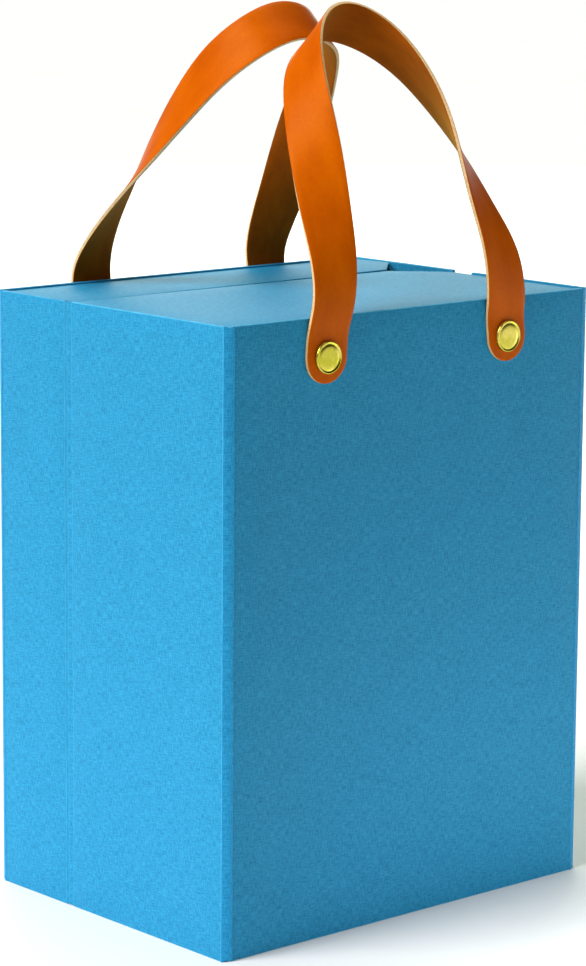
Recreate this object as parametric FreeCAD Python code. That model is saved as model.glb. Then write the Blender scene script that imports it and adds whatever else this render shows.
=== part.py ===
import FreeCAD, Part
import math
import os

# Archival box: a clamshell case of covered greyboard with two trays inside it.
# The deep front tray and the shallow rear tray meet mouth to mouth. A paper seam in
# the left wall is the hinge, and a magnetic flap closes the right wall. Each half
# carries a leather strap handle held by two capped rivets.
#
# Frame: millimetres, +Z up, origin at the middle of the base. The deep tray and its
# cover are on the -Y side, the shallow tray on the +Y side, the seam at -X.

# ---- driving dimensions -------------------------------------------------------
box_width = 250.0             # X, over the covers
box_depth = 184.0             # Y, over the covers
box_height = 316.0            # Z, over the covers
parting_y = 34.0              # plane where the two trays meet
cover_board = 2.5             # greyboard of the outer covers, with its paper
tray_board = 2.0              # greyboard of the trays, with its paper
liner_thickness = 0.3         # lining sheets
liner_margin = 2.0            # the flap's lining stops this far inside its edges
cover_overhang = 1.0          # the covers stand this much past the trays, top and bottom
mouth_gap = 0.6               # between the two tray mouths when shut

# paper joints between the covers
joint_long = 4.8              # the wider leg of a corner joint
joint_short = 2.4             # the narrower leg of a corner joint
strip_thickness = 0.5         # covering paper, two layers
seam_gap = 5.5                # between the two left covers; the rear one ends at its tray's mouth
seam_recess = 0.4             # the seam's paper lies this much below the covers
seam_clearance = 0.3          # between the seam's paper and the moving rear cover

# right wall, flap and finger notches
flap_clearance = 0.2          # between the flap's lining and the trays
notch = 25.0                  # 45 degree clip at the trays' free right corners
right_cover_end = -6.0        # where the front half's right cover stops

# magnets
magnet_diameter = 12.0
wall_magnet_thickness = 1.2
flap_magnet_thickness = 1.5
magnet_spacing = 160.0        # between the upper and the lower magnet
magnet_inset = 13.0           # from the flap's free edge to the magnets' centres
magnet_fit = 0.05             # play round and behind a magnet in its pocket

# leather handles
strap_width = 26.0
strap_thickness = 2.0
foot_spacing = 124.0          # between the two rivets of a handle
rivet_drop = 20.0             # from the covers' top edge down to the rivets
foot_margin = 1.0             # the strap is free to bend this far above the foot's round

# rivets
head_diameter = 16.5
head_rim = 0.9                # height of the head's edge
head_crown = 2.2              # height of the head's middle
post_diameter = 4.0
post_clearance = 0.1          # round the post, in the leather and the boards
cap_diameter = 12.0           # inner cap
cap_thickness = 1.8
cap_floor = 0.6               # metal left behind the post's end

# hinge axes
hinge_offset = 0.2            # the paper hinges' axes lie this far outside the covers

# The right half of each handle's centre line, as (out from the middle, inward from the
# cover's face, up from the free end of the foot), and how far the strap has turned
# there from lying against the cover (0) to lying across the top (90 degrees).
front_strap_line = [
    (61.5, -1.0, 0.0, 0.0),
    (59.6, -2.8, 10.0, 2.0),
    (57.2, -0.9, 29.0, 8.0),
    (53.6, 8.6, 52.0, 22.0),
    (48.6, 22.5, 82.0, 45.0),
    (42.4, 36.5, 107.0, 62.0),
    (32.0, 50.5, 127.5, 72.0),
    (16.5, 60.3, 140.5, 83.0),
    (0.0, 63.5, 144.8, 90.0),
]
rear_strap_line = [
    (61.5, -1.0, 0.0, 0.0),
    (61.0, -2.2, 10.0, 5.0),
    (59.8, 3.8, 28.0, 16.0),
    (56.2, 19.2, 52.0, 32.0),
    (49.8, 37.6, 79.0, 54.0),
    (42.8, 56.3, 104.5, 72.0),
    (34.0, 74.2, 125.5, 84.0),
    (20.5, 87.3, 139.0, 89.0),
    (0.0, 89.8, 144.2, 90.0),
]
front_top_lean = 49.0         # each strap's top leans over by this many degrees
rear_top_lean = 43.5

# ---- derived places -----------------------------------------------------------
half_width = box_width / 2.0
half_depth = box_depth / 2.0
front_mouth_y = parting_y - mouth_gap / 2.0
rear_mouth_y = parting_y + mouth_gap / 2.0
seam_rear_y = rear_mouth_y
seam_front_y = seam_rear_y - seam_gap
lid_hinge_y = (seam_front_y + seam_rear_y) / 2.0
flap_inner_x = half_width - cover_board
tray_right_x = flap_inner_x - liner_thickness - flap_clearance
tray_left_x = -half_width + cover_board
right_cover_x = tray_right_x + cover_board
tray_bottom_z = cover_overhang
tray_top_z = box_height - cover_overhang
cover_inner_y = half_depth - cover_board
base_inner_y = cover_inner_y - tray_board
flap_end_y = parting_y - notch
rivet_z = box_height - rivet_drop
foot_top_z = rivet_z + strap_width / 2.0 + foot_margin
magnet_y = flap_end_y + magnet_inset
magnet_heights = [box_height / 2.0 - magnet_spacing / 2.0,
                  box_height / 2.0 + magnet_spacing / 2.0]
vector = FreeCAD.Vector


# ---- helpers ------------------------------------------------------------------
def slab(low, high):
    """A rectangular board between two corners."""
    size = [high[i] - low[i] for i in range(3)]
    return Part.makeBox(size[0], size[1], size[2], vector(*low))


def prism(outline, along):
    """A flat outline pushed along a vector."""
    points = [vector(*point) for point in outline]
    return Part.Face(Part.makePolygon(points + points[:1])).extrude(vector(*along))


def disc(radius, start, along):
    """A cylinder from a start point along a vector."""
    return Part.makeCylinder(radius, vector(*along).Length, vector(*start), vector(*along))


def save(name, *solids):
    """One STEP file for a node, which may be a group of like pieces."""
    shape = solids[0] if len(solids) == 1 else Part.makeCompound(list(solids))
    shape.exportStep(os.path.join("parts", name + ".step"))


def rivet_places():
    """The two rivets of a handle, along X."""
    return [-foot_spacing / 2.0, foot_spacing / 2.0]


def bored_for_posts(board, side):
    """A board of the front (-1) or rear (+1) half, with the rivet posts' holes."""
    for x in rivet_places():
        hole = disc(post_diameter / 2.0 + post_clearance, (x, 0, rivet_z), (0, side * box_depth, 0))
        board = board.cut(hole)
    return board


# ---- covers -------------------------------------------------------------------
def front_cover_board():
    board = slab((-half_width + joint_long, -half_depth, 0),
                 (right_cover_x - joint_long, -cover_inner_y, box_height))
    return bored_for_posts(board, -1)


def left_front_cover_board():
    return slab((-half_width, -half_depth + joint_short, 0), (tray_left_x, seam_front_y, box_height))


def right_front_cover_board():
    return slab((tray_right_x, -half_depth + joint_short, 0), (right_cover_x, right_cover_end, box_height))


def rear_cover_board():
    board = slab((-half_width + joint_short, cover_inner_y, 0),
                 (half_width - joint_short, half_depth, box_height))
    return bored_for_posts(board, 1)


def left_rear_cover_board():
    return slab((-half_width, seam_rear_y, 0), (tray_left_x, half_depth - joint_long, box_height))


def corner_strip(corner_x, corner_y, leg_x, leg_y):
    """The paper that bridges two covers at a corner; the signed legs run to their edges."""
    slope = math.atan2(abs(leg_y), abs(leg_x))
    in_x = math.copysign(strip_thickness / math.sin(slope), leg_x)
    in_y = math.copysign(strip_thickness / math.cos(slope), leg_y)
    outline = [(corner_x, corner_y + leg_y, 0), (corner_x + leg_x, corner_y, 0),
               (corner_x + leg_x, corner_y + in_y, 0), (corner_x + in_x, corner_y + leg_y, 0)]
    return prism(outline, (0, 0, box_height))


def left_seam_strip():
    outer_x = -half_width + seam_recess
    return slab((outer_x, seam_front_y, 0),
                (outer_x + strip_thickness, seam_rear_y - seam_clearance, box_height))


# ---- trays --------------------------------------------------------------------
def tray_base(side):
    """The tray's large panel, glued to the front (-1) or rear (+1) cover."""
    low_y, high_y = sorted((side * cover_inner_y, side * base_inner_y))
    board = slab((tray_left_x, low_y, tray_bottom_z), (tray_right_x, high_y, tray_top_z))
    return bored_for_posts(board, side)


def tray_liner(side):
    """The lining sheet on the inside of a tray's base."""
    low_y, high_y = sorted((side * base_inner_y, side * (base_inner_y - liner_thickness)))
    sheet = slab((tray_left_x + tray_board, low_y, tray_bottom_z + tray_board),
                 (tray_right_x - tray_board, high_y, tray_top_z - tray_board))
    return bored_for_posts(sheet, side)


def flat_wall(side, mouth_y, low_z):
    """A top or bottom wall, with its free right corner clipped for a finger."""
    clip_x = tray_right_x - notch
    clip_y = mouth_y + side * notch
    outline = [(tray_left_x, side * base_inner_y, low_z), (tray_right_x, side * base_inner_y, low_z),
               (tray_right_x, clip_y, low_z), (clip_x, mouth_y, low_z), (tray_left_x, mouth_y, low_z)]
    return prism(outline, (0, 0, tray_board))


def left_wall(side, mouth_y):
    low_y, high_y = sorted((side * base_inner_y, mouth_y))
    return slab((tray_left_x, low_y, tray_bottom_z + tray_board),
                (tray_left_x + tray_board, high_y, tray_top_z - tray_board))


def right_wall(side, mouth_y):
    """The right wall, with both free corners clipped in line with the flat walls."""
    x = tray_right_x - tray_board
    low_z = tray_bottom_z + tray_board
    high_z = tray_top_z - tray_board
    clip_y = mouth_y + side * (notch - tray_board)
    outline = [(x, side * base_inner_y, low_z), (x, clip_y, low_z),
               (x, mouth_y, tray_bottom_z + notch), (x, mouth_y, tray_top_z - notch),
               (x, clip_y, high_z), (x, side * base_inner_y, high_z)]
    return prism(outline, (tray_board, 0, 0))


def front_right_wall():
    wall = right_wall(-1, front_mouth_y)
    for pocket in wall_magnets(magnet_fit):
        wall = wall.cut(pocket)
    return wall


def magnets(middle_x, thickness, play):
    """The two discs centred on a board's thickness, or their pockets with some play."""
    start_x = middle_x - thickness / 2.0 - play
    return [disc(magnet_diameter / 2.0 + play, (start_x, magnet_y, z), (thickness + 2 * play, 0, 0))
            for z in magnet_heights]


def wall_magnets(play=0.0):
    return magnets(tray_right_x - tray_board / 2.0, wall_magnet_thickness, play)


# ---- flap ---------------------------------------------------------------------
def flap_magnets(play=0.0):
    return magnets(half_width - cover_board / 2.0, flap_magnet_thickness, play)


def flap_board():
    board = slab((flap_inner_x, flap_end_y, 0), (half_width, half_depth - joint_long, box_height))
    for pocket in flap_magnets(magnet_fit):
        board = board.cut(pocket)
    return board


def flap_liner():
    return slab((flap_inner_x - liner_thickness, flap_end_y + liner_margin, tray_bottom_z + liner_margin),
                (flap_inner_x, half_depth - joint_long, tray_top_z - liner_margin))


# ---- handles ------------------------------------------------------------------
def strap_feet(side):
    """The strap's two ends, flat on the cover, rounded about their rivets."""
    feet = []
    radius = strap_width / 2.0
    for x in rivet_places():
        start = (x, side * half_depth, rivet_z)
        along = (0, side * strap_thickness, 0)
        low_y, high_y = sorted((side * half_depth, side * (half_depth + strap_thickness)))
        tail = slab((x - radius, low_y, rivet_z), (x + radius, high_y, foot_top_z))
        foot = disc(radius, start, along).fuse(tail).removeSplitter()
        feet.append(foot.cut(disc(post_diameter / 2.0 + post_clearance, start, along)))
    return feet


def strap_frames(side, line, top_lean):
    """Centre, width direction and outward direction at each point of the right leg."""
    points = [vector(x, side * (half_depth - inward), foot_top_z + up) for x, inward, up, _ in line]
    mirrored = [vector(-p.x, p.y, p.z) for p in points[-2::-1]]
    curve = Part.BSplineCurve()
    curve.interpolate(points + mirrored)
    lean = math.radians(top_lean)
    across_top = vector(0, -side * math.cos(lean), -math.sin(lean))
    frames = []
    for point, row in zip(points, line):
        turn = math.radians(row[3])
        along = curve.tangent(curve.parameter(point))[0]
        if row is line[0]:
            along = vector(0, 0, 1)
        width = vector(math.cos(turn), 0, 0) + across_top * math.sin(turn)
        width = (width - along * width.dot(along)).normalize()
        outward = along.cross(width) * -side
        frames.append((point, width, outward.normalize()))
    return frames


def free_strap(side, line, top_lean):
    """The strap between its two feet, lofted through its turned cross-sections."""
    right = []
    for centre, width, outward in strap_frames(side, line, top_lean):
        across = width * (strap_width / 2.0)
        through = outward * (strap_thickness / 2.0)
        right.append([centre - across + through, centre + across + through,
                      centre + across - through, centre - across - through])
    left = [[vector(-p.x, p.y, p.z) for p in section] for section in right[:-1]]
    sections = left + right[::-1]
    return Part.makeLoft([Part.makePolygon(s + s[:1]) for s in sections], True, False)


# ---- rivets -------------------------------------------------------------------
def turned(profile, x, face_y, side):
    """A profile of (radius, height above the face) spun about a rivet's axis."""
    points = [vector(x + radius, face_y + side * height, rivet_z) for radius, height in profile]
    face = Part.Face(Part.makePolygon(points + points[:1]))
    return face.revolve(vector(x, face_y, rivet_z), vector(0, 1, 0), 360)


def rivet_posts(side):
    """Outer heads, crowned inside a flat rim, each with its post."""
    face_y = side * (half_depth + strap_thickness)
    head_radius = head_diameter / 2.0
    post_end = -(strap_thickness + cover_board + tray_board + liner_thickness + cap_thickness - cap_floor)
    rivets = []
    for x in rivet_places():
        profile = [(0, post_end), (post_diameter / 2.0, post_end), (post_diameter / 2.0, 0),
                   (head_radius - 0.3, 0), (head_radius, 0.3), (head_radius, head_rim)]
        steps = 8
        crown_radius = head_radius - 0.6
        for step in range(steps + 1):
            part = 1.0 - step / steps
            height = head_rim + 0.3 + (head_crown - head_rim - 0.3) * (1.0 - part ** 2)
            profile.append((crown_radius * part, height))
        rivets.append(turned(profile, x, face_y, side))
    return rivets


def rivet_caps(side):
    """Inner caps, each with a socket for its post."""
    face_y = side * (base_inner_y - liner_thickness)
    cap_radius = cap_diameter / 2.0
    post_radius = post_diameter / 2.0
    socket = cap_thickness - cap_floor
    profile = [(post_radius, 0), (cap_radius, 0), (cap_radius, cap_thickness * 0.6),
               (cap_radius - 0.8, cap_thickness), (0, cap_thickness), (0, socket), (post_radius, socket)]
    return [turned(profile, x, face_y, -side) for x in rivet_places()]


# ---- the nodes ----------------------------------------------------------------
os.makedirs("parts", exist_ok=True)

save("front_cover_board", front_cover_board())
save("left_front_cover_board", left_front_cover_board())
save("right_front_cover_board", right_front_cover_board())
save("rear_cover_board", rear_cover_board())
save("left_rear_cover_board", left_rear_cover_board())
save("front_left_corner_strip", corner_strip(-half_width, -half_depth, joint_long, joint_short))
save("front_right_corner_strip", corner_strip(right_cover_x, -half_depth, -joint_long, joint_short))
save("rear_left_corner_strip", corner_strip(-half_width, half_depth, joint_short, -joint_long))
save("flap_hinge_strip", corner_strip(half_width, half_depth, -joint_short, -joint_long))
save("left_seam_strip", left_seam_strip())

for half, side, mouth_y in (("front", -1, front_mouth_y), ("rear", 1, rear_mouth_y)):
    save(half + "_tray_base", tray_base(side))
    save(half + "_tray_liner", tray_liner(side))
    save(half + "_tray_top_wall", flat_wall(side, mouth_y, tray_top_z - tray_board))
    save(half + "_tray_bottom_wall", flat_wall(side, mouth_y, tray_bottom_z))
    save(half + "_tray_left_wall", left_wall(side, mouth_y))
    save(half + "_strap_feet", *strap_feet(side))
    save(half + "_rivet_posts", *rivet_posts(side))
    save(half + "_rivet_caps", *rivet_caps(side))

save("front_strap", free_strap(-1, front_strap_line, front_top_lean))
save("rear_strap", free_strap(1, rear_strap_line, rear_top_lean))
save("front_tray_right_wall", front_right_wall())
save("rear_tray_right_wall", right_wall(1, rear_mouth_y))
save("wall_magnets", *wall_magnets())
save("flap_board", flap_board())
save("flap_liner", flap_liner())
save("flap_magnets", *flap_magnets())

print("lid hinge axis", -half_width - hinge_offset, lid_hinge_y)
print("flap hinge axis", half_width + hinge_offset, half_depth - (joint_short + joint_long) / 3.0)
print("handle fold axis y", half_depth + strap_thickness, "z", foot_top_z)
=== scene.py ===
# %% [markdown]
# # An archival box with leather handles
# A box like this is a clamshell: two card trays meet mouth to mouth inside a case of
# greyboard covers, all wrapped in blue paper that is embossed like linen. A paper
# seam on the left is the hinge, a magnetic flap closes the right side, and each half
# carries a strap of vegetable-tanned leather held by two brass rivets.
# The CAD model already has every piece in its place and every joint, so this script
# only gives the pieces their real surfaces, and reads all places from the frame.

# %% Load the frame
import math

import bmesh
import bpy
import numpy as np
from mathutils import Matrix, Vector


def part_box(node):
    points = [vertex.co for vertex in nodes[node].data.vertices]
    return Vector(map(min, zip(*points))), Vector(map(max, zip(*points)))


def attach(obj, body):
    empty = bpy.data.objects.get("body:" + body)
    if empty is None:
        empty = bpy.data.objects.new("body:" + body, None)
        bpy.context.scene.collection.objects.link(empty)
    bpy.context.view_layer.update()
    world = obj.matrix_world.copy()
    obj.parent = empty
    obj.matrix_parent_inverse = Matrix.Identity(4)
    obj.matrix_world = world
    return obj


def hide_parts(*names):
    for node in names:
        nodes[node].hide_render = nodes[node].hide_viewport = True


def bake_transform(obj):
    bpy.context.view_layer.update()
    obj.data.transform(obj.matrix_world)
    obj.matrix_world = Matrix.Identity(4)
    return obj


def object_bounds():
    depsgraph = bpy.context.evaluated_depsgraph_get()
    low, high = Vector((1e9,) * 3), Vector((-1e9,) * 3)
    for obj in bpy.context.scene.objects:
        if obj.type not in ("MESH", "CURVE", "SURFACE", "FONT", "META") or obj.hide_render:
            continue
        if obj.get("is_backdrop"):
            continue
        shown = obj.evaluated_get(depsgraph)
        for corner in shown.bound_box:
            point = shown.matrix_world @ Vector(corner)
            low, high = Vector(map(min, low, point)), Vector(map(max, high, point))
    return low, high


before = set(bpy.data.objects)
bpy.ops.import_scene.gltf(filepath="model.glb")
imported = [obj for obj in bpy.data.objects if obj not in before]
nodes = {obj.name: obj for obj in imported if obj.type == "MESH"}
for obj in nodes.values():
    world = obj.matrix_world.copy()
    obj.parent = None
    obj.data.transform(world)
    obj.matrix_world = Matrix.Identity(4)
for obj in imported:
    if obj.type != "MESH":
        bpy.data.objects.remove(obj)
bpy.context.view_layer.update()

MM = 0.001

# %% [markdown]
# ## Places that the other cells use
# The covers stand on the outside, the trays inside them. Places could be typed in as
# numbers, but then a change in the CAD model would leave the visible pieces behind.
# So the faces and the parting plane are read from the frame's boxes instead.

# %% Measure the frame
front_face_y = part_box("front_cover_board")[0].y
rear_face_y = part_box("rear_cover_board")[1].y
left_face_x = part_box("left_front_cover_board")[0].x
right_face_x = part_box("flap_board")[1].x
box_top_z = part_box("front_cover_board")[1].z
parting_y = (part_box("front_tray_left_wall")[1].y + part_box("rear_tray_left_wall")[0].y) / 2
finger_clip = parting_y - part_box("flap_board")[0].y
print("parting plane at", round(parting_y / MM, 1), "mm; finger clip", round(finger_clip / MM, 1), "mm")

# %% [markdown]
# ## Small helpers for materials
# Every finish here is a node tree. Such a tree could be wired by hand in the shader
# editor, but a written one can be read and repeated. These helpers only shorten the
# writing: one makes an empty finish with its shader, one adds a node with its
# settings, and one joins sockets. Values that are the same everywhere are set straight
# on the shader.

# %% Material helpers
def new_finish(name, roughness, specular=0.5):
    """An empty material, its node tree and its shader."""
    finish = bpy.data.materials.new(name)
    finish.use_nodes = True
    shader = finish.node_tree.nodes["Principled BSDF"]
    shader.inputs["Roughness"].default_value = roughness
    shader.inputs["Specular IOR Level"].default_value = specular
    return finish, finish.node_tree, shader


def add_node(tree, kind, inputs=None, **settings):
    """A node with its settings and its unlinked input values."""
    node = tree.nodes.new(kind)
    for key, value in settings.items():
        setattr(node, key, value)
    for key, value in (inputs or {}).items():
        node.inputs[key].default_value = value
    return node


def join(tree, *chain):
    """Joins sockets in pairs: source, target, source, target."""
    for source, target in zip(chain[::2], chain[1::2]):
        tree.links.new(source, target)


print("material helpers ready: new_finish, add_node, join")

# %% [markdown]
# ## Small helpers for patterns
# A natural pattern is mostly noise: read at a point, stretched along one direction,
# mixed with more noise, and turned into a colour by a ramp or into a height by a bump.
# Each of those steps is one short function.

# %% Pattern helpers
def ramp_between(tree, factor, stops):
    """A colour ramp over a factor socket, from (position, colour) stops."""
    ramp = add_node(tree, "ShaderNodeValToRGB")
    band = ramp.color_ramp
    while len(band.elements) < len(stops):
        band.elements.new(0.5)
    for element, (position, colour) in zip(band.elements, stops):
        element.position = position
        element.color = (*colour, 1.0)
    join(tree, factor, ramp.inputs["Fac"])
    return ramp.outputs["Color"]


def stretched_noise(tree, source, scale, detail=2.0, roughness=0.5):
    """Noise over a point socket that is scaled differently along each axis."""
    spread = add_node(tree, "ShaderNodeVectorMath", {1: scale}, operation="MULTIPLY")
    grain = add_node(tree, "ShaderNodeTexNoise", {"Scale": 1.0, "Detail": detail, "Roughness": roughness})
    join(tree, source, spread.inputs[0], spread.outputs[0], grain.inputs["Vector"])
    return grain.outputs["Fac"]


def math_node(tree, operation, first, second):
    """A maths node over two sockets or numbers."""
    node = add_node(tree, "ShaderNodeMath", operation=operation)
    for slot_index, value in enumerate((first, second)):
        if isinstance(value, (int, float)):
            node.inputs[slot_index].default_value = value
        else:
            join(tree, value, node.inputs[slot_index])
    return node.outputs[0]


def raise_surface(tree, shader, height, strength, distance):
    """Bumps the shader's surface by a height socket."""
    bump = add_node(tree, "ShaderNodeBump", {"Strength": strength, "Distance": distance})
    join(tree, height, bump.inputs["Height"], bump.outputs["Normal"], shader.inputs["Normal"])


print("pattern helpers ready: ramp_between, stretched_noise, math_node, raise_surface")

# %% [markdown]
# ## Blue covering paper
# The paper is dyed right through and embossed with a linen weave: short uneven
# ridges across and along the sheet. A regular wave would look like plastic, so the
# weave is two noises, each drawn out along one thread direction, over a fine regular
# mesh. The pattern lies in the sheet's own map, which is in metres, so a thread is
# the same size on every board and follows the paper round an edge. The edges are
# painted paler: a painted highlight where the rounded edges catch light, and partly
# rubbed wear. How pale is stored on each board's points, and noise breaks it into patches.

# %% Weave and wear of the paper
THREAD_MAP = "sheet"
WEAR_AND_HIGHLIGHT_MARK = "wear"


# how finely each pattern is drawn along the sheet's two directions, per metre
long_threads = (1900.0, 260.0, 1.0)
cross_threads = (230.0, 2100.0, 1.0)
clouding = (45.0, 60.0, 1.0)
wear_and_highlight_patches = (150.0, 150.0, 60.0)
# the paler colour of the boards' edges: a painted highlight, partly wear
worn_and_highlit_paper = (0.100, 0.500, 0.760, 1.0)
weave_depth = 0.12 * MM


def regular_mesh(tree, sheet):
    """Two fine waves across each other, a little distorted."""
    waves = []
    for direction in ("X", "Y"):
        wave = add_node(tree, "ShaderNodeTexWave",
                        {"Scale": 480.0, "Distortion": 2.2, "Detail": 1.0, "Detail Scale": 2.0},
                        bands_direction=direction)
        join(tree, sheet, wave.inputs["Vector"])
        waves.append(wave.outputs["Fac"])
    return math_node(tree, "MULTIPLY", waves[0], waves[1])


def worn_and_highlit_colour(tree, colour):
    """The paper's colour, painted paler at the board's edges: a painted highlight, partly wear."""
    wear_and_highlight_share = add_node(tree, "ShaderNodeAttribute", attribute_name=WEAR_AND_HIGHLIGHT_MARK).outputs["Fac"]
    place = add_node(tree, "ShaderNodeTexCoord").outputs["Object"]
    patches = stretched_noise(tree, place, wear_and_highlight_patches, 4.0, 0.6)
    # the edges turn paler here: a painted highlight, partly wear
    paler = add_node(tree, "ShaderNodeMix", {"B": worn_and_highlit_paper}, data_type="RGBA")
    join(tree, math_node(tree, "MULTIPLY", wear_and_highlight_share, patches), paler.inputs["Factor"],
         colour, paler.inputs["A"])
    return paler.outputs["Result"]


print("threads per metre:", long_threads[0], "and", cross_threads[1])

# %% [markdown]
# The finish puts these together. The threads make both the bump and most of the colour,
# darker in the valleys: partly a painted shade in the weave's hollows, partly the weave's
# own pattern. A slow clouding takes off the evenness. The
# paper over the joints is a shade lighter and has more tooth than the paper on boards.

# %% Blue paper finish
def woven_paper(name, dark, light, tooth):
    """Embossed covering paper between a dark and a light colour, the dark one in the weave's valleys,
    partly as painted shade.
    """
    finish, tree, shader = new_finish(name, roughness=0.62, specular=0.16)
    sheet = add_node(tree, "ShaderNodeUVMap", uv_map=THREAD_MAP).outputs["UV"]
    threads = math_node(tree, "ADD", stretched_noise(tree, sheet, long_threads, 3.0, 0.6),
                        stretched_noise(tree, sheet, cross_threads, 3.0, 0.6))
    cloud = stretched_noise(tree, sheet, clouding, 4.0, 0.65)
    mesh = regular_mesh(tree, sheet)
    height = math_node(tree, "ADD", threads, math_node(tree, "MULTIPLY", mesh, 0.35))
    # darker where the threads are low: partly painted shade in the weave's hollows, partly the weave's
    # pattern
    shade = math_node(tree, "ADD", math_node(tree, "MULTIPLY", threads, 0.78),
                      math_node(tree, "MULTIPLY", cloud, 0.12))
    colour = ramp_between(tree, shade, [(0.68, dark), (1.0, light)])
    join(tree, worn_and_highlit_colour(tree, colour), shader.inputs["Base Color"])
    shader.inputs["Sheen Weight"].default_value = 0.03
    shader.inputs["Sheen Roughness"].default_value = 0.45
    shader.inputs["Sheen Tint"].default_value = (0.8, 0.93, 1.0, 1.0)
    raise_surface(tree, shader, height, tooth, weave_depth)
    return finish


blue_paper = woven_paper("blue_covering_paper", (0.005, 0.166, 0.330), (0.021, 0.282, 0.510), 0.78)
joint_paper = woven_paper("blue_joint_paper", (0.005, 0.188, 0.400), (0.021, 0.320, 0.610), 0.85)
print("paper nodes:", len(blue_paper.node_tree.nodes))

# %% [markdown]
# ## Off-white lining paper
# The lining is a plain, slightly toothy sheet. It has flecks of fibre and a faint
# unevenness of tone, and almost no gloss. One flat colour would look like plastic, so
# two noises of very different size are mixed: the fibre and the tone.

# %% Lining paper finish
def plain_lining():
    """Off-white paper with fine fibre and a faint uneven tone."""
    finish, tree, shader = new_finish("off_white_lining_paper", roughness=0.85, specular=0.25)
    place = add_node(tree, "ShaderNodeTexCoord").outputs["Object"]
    fibre = stretched_noise(tree, place, (900.0, 900.0, 500.0), 4.0, 0.7)
    tone = stretched_noise(tree, place, (18.0, 18.0, 18.0), 3.0)
    mixed = math_node(tree, "ADD", math_node(tree, "MULTIPLY", fibre, 0.6),
                      math_node(tree, "MULTIPLY", tone, 0.4))
    colour = ramp_between(tree, mixed, [(0.35, (0.62, 0.56, 0.45)), (0.65, (0.76, 0.71, 0.61))])
    join(tree, colour, shader.inputs["Base Color"])
    raise_surface(tree, shader, fibre, 0.35, 0.1 * MM)
    return finish


lining_paper = plain_lining()
print("lining nodes:", len(lining_paper.node_tree.nodes))

# %% [markdown]
# ## Leather
# A strap has three surfaces. The grain side is dyed orange-tan, smooth and a little
# waxy, with fine pores. The flesh side is brown and velvety. The cut edge was never
# dyed, so it shows the pale core. One finish could mix all three, but three finishes
# are easier to read and to change. The grain reads the strap's own map, which was
# laid while the strap was flat, so the pores don't stretch where the strap bends.

# %% Leather finishes
HIDE_MAP = "hide"


def hide_point(tree):
    """A point on the hide, as it lay before the strap was bent."""
    return add_node(tree, "ShaderNodeUVMap", uv_map=HIDE_MAP).outputs["UV"]


def grain_leather():
    """The dyed outer side, with pores, fine creases and a waxy gloss."""
    finish, tree, shader = new_finish("tan_grain_leather", roughness=0.36, specular=0.11)
    hide = hide_point(tree)
    pores = add_node(tree, "ShaderNodeTexVoronoi", {"Scale": 1500.0, "Randomness": 1.0})
    join(tree, hide, pores.inputs["Vector"])
    creases = stretched_noise(tree, hide, (420.0, 620.0, 1.0), 5.0, 0.62)
    tone = stretched_noise(tree, hide, (28.0, 60.0, 1.0), 3.0, 0.55)
    pitted = math_node(tree, "MULTIPLY", pores.outputs["Distance"], 0.6)
    height = math_node(tree, "ADD", pitted, creases)
    mixed = math_node(tree, "ADD", math_node(tree, "MULTIPLY", creases, 0.3),
                      math_node(tree, "MULTIPLY", tone, 0.7))
    colour = ramp_between(tree, mixed, [(0.3, (0.395, 0.060, 0.0002)),
                                        (0.7, (0.530, 0.102, 0.0004))])
    gloss = math_node(tree, "ADD", math_node(tree, "MULTIPLY", creases, 0.24), 0.24)
    join(tree, colour, shader.inputs["Base Color"], gloss, shader.inputs["Roughness"])
    shader.inputs["Specular Tint"].default_value = (1.0, 0.42, 0.06, 1.0)
    raise_surface(tree, shader, height, 0.30, 0.12 * MM)
    return finish


tan_grain = grain_leather()
print("grain nodes:", len(tan_grain.node_tree.nodes))

# %% [markdown]
# The other two surfaces of a strap are rough. The flesh side's nap is a soft sheen
# over fine noise, and the cut edge is bare fibre.

# %% Flesh and edge finishes
def flesh_leather():
    """The undyed inner side: brown, velvety, with a soft nap."""
    finish, tree, shader = new_finish("brown_flesh_leather", roughness=0.9, specular=0.12)
    hide = hide_point(tree)
    nap = stretched_noise(tree, hide, (1500.0, 900.0, 1.0), 5.0, 0.75)
    tone = stretched_noise(tree, hide, (35.0, 90.0, 1.0), 3.0, 0.6)
    mixed = math_node(tree, "ADD", math_node(tree, "MULTIPLY", nap, 0.45),
                      math_node(tree, "MULTIPLY", tone, 0.55))
    colour = ramp_between(tree, mixed, [(0.32, (0.170, 0.027, 0.0004)),
                                        (0.68, (0.355, 0.070, 0.0008))])
    join(tree, colour, shader.inputs["Base Color"])
    shader.inputs["Sheen Weight"].default_value = 0.28
    shader.inputs["Sheen Roughness"].default_value = 0.5
    shader.inputs["Sheen Tint"].default_value = (1.0, 0.66, 0.08, 1.0)
    shader.inputs["Specular Tint"].default_value = (1.0, 0.65, 0.25, 1.0)
    raise_surface(tree, shader, nap, 0.6, 0.25 * MM)
    return finish


def edge_leather():
    """The cut edge, where the hide's pale core shows."""
    finish, tree, shader = new_finish("raw_leather_edge", roughness=0.8, specular=0.25)
    place = add_node(tree, "ShaderNodeTexCoord").outputs["Object"]
    fibre = stretched_noise(tree, place, (1400.0, 1400.0, 1400.0), 4.0, 0.7)
    colour = ramp_between(tree, fibre, [(0.3, (0.480, 0.270, 0.085)),
                                        (0.65, (0.780, 0.560, 0.300))])
    join(tree, colour, shader.inputs["Base Color"])
    raise_surface(tree, shader, fibre, 0.5, 0.15 * MM)
    return finish


brown_flesh = flesh_leather()
raw_edge = edge_leather()
print("flesh nodes:", len(brown_flesh.node_tree.nodes), "edge nodes:", len(raw_edge.node_tree.nodes))

# %% [markdown]
# ## Brass and nickel
# The rivets are pressed from brass sheet and polished, and they carry fine turned
# scratches and a few dull patches. The magnets are nickel plated. They sit inside
# the boards, and the CAD nodes already have their true shape, so they only get a
# better finish.

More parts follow.
